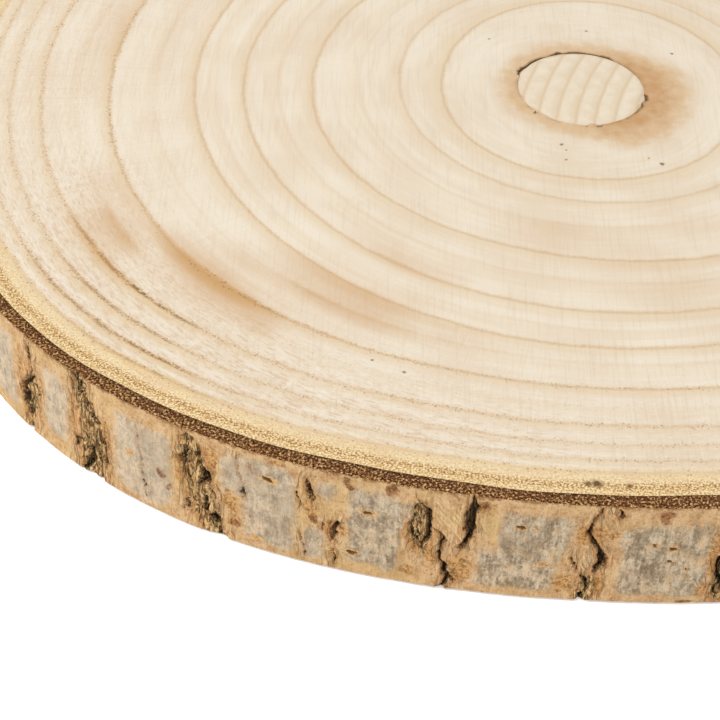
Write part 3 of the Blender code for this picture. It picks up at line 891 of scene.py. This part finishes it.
def endGrainMaterial():
    material, shader, wire = newMaterial("endGrain", 0.72)
    place = wire.fromPith()
    radius = place.length()
    heading = place.vector("NORMALIZE")
    year = wire.attribute("year")
    broad = place.noise(22)
    medium = place.noise(5.5, 3, 0.6)
    fine = place.noise(0.7, 2, 0.6)
    finest = place.noise(0.4, 1)

    # noise in lumps of so many mm outwards, and shorter round as the first number grows
    def polar(around, outward, detail=2, roughness=0.6):
        up = wire.node("ShaderNodeCombineXYZ", None, {"Z": radius / outward})
        return heading.vector("SCALE", scale=around).vector("ADD", up).noise(1.0, detail, roughness)

    rays = polar(150, 26)
    finerRays = polar(330, 14, 1)
    fuzz = polar(60, 0.5)
    bands = polar(3, 1.7, 3)
    streaks = polar(22, 0.9, 3, 0.7)
    dashes = polar(36, 3.0)
    saw = place.mapped((1, 0.04, 1)).noise(0.55, 1)
    streaky = wire.attribute("streaky")

    # ring lines: the distance in mm to the nearest one, and outwards of it a tan tone that fades
    offset = year - year.maths("ROUND", year)
    past = offset * wire.attribute("yearWidth") + medium.sway(1.1) + fine.sway(0.6)
    distance = abs(past)
    strength = wire.attribute("lineStrength")
    outer = radius.step(70, 116)
    line = 1 - distance.step(0.0, 0.72)
    glow = (1 - past.step(0.0, 5.5 - outer * 2.0)) * past.step(-1.2, 0.2)
    beads = finest.step(0.42, 0.60) * outer + (1 - outer) * 0.75
    thickLine = line * (strength - 0.9).most(0)

    stain = wire.attribute("stain")
    stain = (stain + medium.sway(0.5) * stain.step(0, 0.2)).most(0)

    # yellow sapwood, granular next to the bark
    toEdge = wire.attribute("toEdge") + medium.sway(1.8)
    sap = 1 - toEdge.step(1.0, 8.5)
    sapTone = wire.blend((238, 204, 134), (228, 186, 110), medium.step(0.4, 0.62))
    edgeLine = (1 - abs(toEdge - 2.2).step(0.2, 1.6)) * 0.8 + (1 - toEdge.step(0.0, 3.4)) * 0.4

    # open pores, mostly in the outer years and close to their lines
    dots = (1 - place.cells(0.8).step(0.10, 0.34)) * place.noise(2.4, 1).step(0.38, 0.52)
    near = (1 - distance.step(0.3, 1.4)) * strength * outer + 0.08 * outer + 0.02

    # brown wood round the plug, darkest where they touch, and dirt in the gaps
    blotches = place.noise(3.2, 3, 0.6)
    halo = wire.attribute("halo")
    halo = (halo + (blotches.sway(0.7) + fine.sway(0.2)) * halo.step(0.0, 0.35)).most(0).least(1)
    hole = slab["plugRadius"]
    gap = wire.attribute("gap")
    touching = 1 - (radius + medium.sway(1.2)).step(hole + 0.1, hole + 1.2)
    dirt = 1 - (radius - gap + fine.sway(0.9)).step(hole, hole + 0.75)

    pits = None
    for x, y, size in wood["pits"]:
        away = place.vector("DISTANCE", (x, y, 0), output=1) + fine.sway(size * 1.4)
        spot = (1 - away.step(size * 0.2, size * 1.15)) * min(1, 0.6 + size * 0.35)
        pits = spot if pits is None else pits.most(spot)

    # the upright walls of the hole and of the outside are painted darker brown than the faces
    normal = wire.node("ShaderNodeNewGeometry", None, None, 3)
    facing = wire.node("ShaderNodeSeparateXYZ", None, {0: normal}, 2)

    base = wire.blend((230, 212, 187), (239, 227, 207), (broad * 0.6 + bands * 0.4).step(0.32, 0.68)).layered(
        ((212, 184, 148), rays.step(0.5, 0.75) * (0.08 + outer * 0.07)),
        ((246, 238, 224), (1 - finerRays).step(0.5, 0.75) * (0.10 + outer * 0.12)),
        ((206, 176, 138), fuzz.step(0.56, 0.74) * (0.05 + outer * 0.13 + streaky * 0.2)),
        ((248, 240, 226), (1 - fuzz).step(0.54, 0.70) * outer * 0.3),
        ((208, 172, 138), (streaks * 0.5 + fuzz * 0.5).step(0.47, 0.63) * streaky * 0.42),
        ((243, 234, 220), (1 - streaks).step(0.5, 0.7) * streaky * 0.2),
        ((223, 192, 144), glow * strength * (0.22 + broad * 0.45 + outer * 0.08)),
        ((208, 182, 148), saw.step(0.5, 0.7) * 0.16),
        ((186, 138, 88), line * strength * beads * (0.06 + dashes * 0.42 + fine * 0.25 + outer * 0.15)),
        ((132, 98, 60), thickLine * (dashes * 0.5 + fine * 0.5).step(0.42, 0.56)),
        ((206, 163, 112), stain * (0.6 + glow * 0.4) * 0.9),
        (sapTone, sap * 0.72),
        ((196, 146, 76), sap * (1 - finest * 0.5 - fine * 0.5).step(0.53, 0.61) * 0.65),
        ((186, 128, 62), edgeLine * fine.step(0.40, 0.56) * 0.7),
        ((112, 72, 32), edgeLine * (1 - finest).step(0.53, 0.61) * 0.6),
        ((255, 241, 198), sap * finest.step(0.51, 0.60) * 0.7),
        ((172, 124, 82), dots * near.least(1) * 0.7),
        ((230, 198, 146), halo.step(0.0, 0.5) * 0.5),
        ((196, 148, 96), halo * (0.62 + 0.4 * blotches)),
        ((150, 104, 60), touching * medium.step(0.4, 0.7) * 0.6),
        ((96, 66, 38), dirt * gap.step(0.0, 0.4) * 0.75),
        ((112, 80, 46), pits),
        ((146, 106, 66), (1 - abs(facing)).step(0.4, 0.8)))
    height = rays * 0.3 + fuzz * (0.15 + streaky * 0.5) + fine * 0.25 - line * strength * 0.3
    finishMaterial(wire, shader, base, height - dots * near * 1.5 - pits, 0.35, 0.25 * mm)
    return material


plug = {
    "steps": 240,
    "loops": 12,
    "ledge": 0.5,  # how deep the gaps round it are, in mm
    "chips": [(282, 3.2, 0.9), (224, 2.0, 0.5), (153, 9.0, 0.25), (-15, 8.0, 0.3)],  # direction, reach, depth
    # its own growth lines are arcs round a far place, which is given from the pith in mm
    "linesRound": (84.0, -24.0),
    "lineSpacing": 4.12,
    "firstLine": 78.3,
}


def makePlug():
    reach = slab["plugRadius"]
    piece = spinRing("pith_plug_wood", slab["pith"], 0.0, reach, plug["steps"], 0, plug["loops"] - 1, 3)
    points = corners(piece)
    flat = points[:, :2] - slab["pith"]
    radius = np.hypot(flat[:, 0], flat[:, 1])
    angle = np.arctan2(flat[:, 1], flat[:, 0])
    edge = np.minimum(points[:, 2], slab["thickness"] - points[:, 2])
    notch = np.zeros(len(angle))
    for middle, across, deep in plug["chips"]:
        notch = np.maximum(notch, deep * np.exp(-(turned(np.degrees(angle), middle) / across) ** 2))
    # below its edge the plug fills the hole, so that a gap or a chip is a shallow groove
    middle = edge > 0.01
    flat = flat * (1 - np.where(middle, 0, notch) * (radius / reach) ** 4 / reach)[:, None]
    flat[middle] *= (1 + (plugGap(angle[middle]) + 0.02) / reach)[:, None]
    drop = np.where(middle, 0, 0.03 + 0.12 * smooth(radius, reach - 0.9, reach + 0.6))
    edge = np.where(middle, np.where(edge > slab["thickness"] * 0.4, edge, plug["ledge"]), drop)
    height = np.where(points[:, 2] > slab["thickness"] / 2, slab["thickness"] - edge, edge)
    setCorners(piece, np.concatenate([flat + slab["pith"], height[:, None]], 1))
    piece.data.materials.append(plugMaterial())
    piece.data.shade_smooth()
    piece.data.set_sharp_from_angle(angle=math.radians(40))
    finishPiece(piece, "plug_wood", "pith_plug")


def plugMaterial():
    material, shader, wire = newMaterial("plugWood", 0.7)
    place = wire.fromPith()
    fine = place.noise(0.5, 3, 0.6)
    medium = place.noise(3.5)
    far = place.vector("DISTANCE", (*plug["linesRound"], 0), output=1)
    count = (far - plug["firstLine"] + medium.sway(0.5) + fine.sway(0.2)) / plug["lineSpacing"]
    offset = (count - count.maths("ROUND", count)) * plug["lineSpacing"]
    line = 1 - abs(offset).step(0.05, 0.65)
    shade = 1 - abs(offset - 0.5).step(0.2, 1.6)
    rim = (place.length() + medium.sway(1.2)).step(slab["plugRadius"] - 0.9, slab["plugRadius"])
    height = wire.node("ShaderNodeSeparateXYZ", None, {0: wire.place()}, 2) / mm
    below = slab["thickness"] / 2 - abs(height - slab["thickness"] / 2)
    base = wire.blend((230, 213, 187), (237, 223, 200), medium.step(0.3, 0.7)).layered(
        ((222, 198, 163), shade * 0.32),
        ((208, 174, 128), line * (0.12 + medium * 0.45)),
        ((212, 190, 158), fine.step(0.52, 0.7) * 0.25),
        ((196, 156, 108), rim * medium.step(0.4, 0.7) * 0.6),
        ((112, 78, 44), below.step(0.16, 0.45)))  # deeper than 0.16 to 0.45 mm under its faces it turns darker brown, which shows in the groove round it
    finishMaterial(wire, shader, base, fine * 0.6 - line * 0.5, 0.3, 0.2 * mm)
    return material


makeBark()
makeWood()
makePlug()

studio = {
    "cameraPlace": (-50.9, -384.5, 273.35),  # mm
    "tilt": 48.215,  # degrees up from looking straight down
    "roll": 2.448,
    "lens": 100,
    "world": 0.5,
    "keyPower": 38.0,
    "keySize": 1.35,
    "keyPlace": (-1.16, -0.61, 2.01),
    "floorHalf": 4.0,
    "floorGlow": 0.38,
}


def makeStudio():
    scene = bpy.context.scene
    scene.view_settings.view_transform = "Standard"
    bpy.ops.object.select_all(action="DESELECT")
    bpy.ops.object.camera_add()
    camera = bpy.context.object
    camera.name = "camera"
    camera.data.lens = studio["lens"]
    camera.data.sensor_width = 36
    camera.data.clip_start = 0.01
    camera.data.clip_end = 50
    camera.matrix_world = (Matrix.Translation(Vector(studio["cameraPlace"]) * mm)
                           @ Matrix.Rotation(math.radians(studio["tilt"]), 4, "X")
                           @ Matrix.Rotation(math.radians(studio["roll"]), 4, "Z"))
    scene.camera = camera

    bpy.ops.mesh.primitive_plane_add(size=2 * studio["floorHalf"], location=(0, 0, -0.0002))
    floor = bpy.context.object
    floor.name = "floor"
    material, shader = newMaterial("paleFloor", 0.8)[:2]
    shader.inputs["Base Color"].default_value = paint(248, 248, 248)
    shader.inputs["Emission Color"].default_value = (1, 1, 1, 1)
    shader.inputs["Emission Strength"].default_value = studio["floorGlow"]
    floor.data.materials.append(material)

    world = bpy.data.worlds.new("softWhite")
    scene.world = world
    world.use_nodes = True
    sky = world.node_tree.nodes["Background"]
    sky.inputs["Color"].default_value = (1, 1, 1, 1)
    # the camera sees it white, the light from it is softer
    seen = Wire(world.node_tree).node("ShaderNodeLightPath")
    strength = seen * (1 - studio["world"]) + studio["world"]
    world.node_tree.links.new(strength.socket, sky.inputs["Strength"])

    bpy.ops.object.light_add(type="AREA", location=studio["keyPlace"])
    key = bpy.context.object
    key.name = "softKey"
    key.data.shape = "DISK"
    key.data.size = studio["keySize"]
    key.data.energy = studio["keyPower"]
    key.rotation_mode = "QUATERNION"
    key.rotation_quaternion = (Vector((0, 0, 0)) - key.location).to_track_quat("-Z", "Y")


makeStudio()
print("camera, floor and light placed")
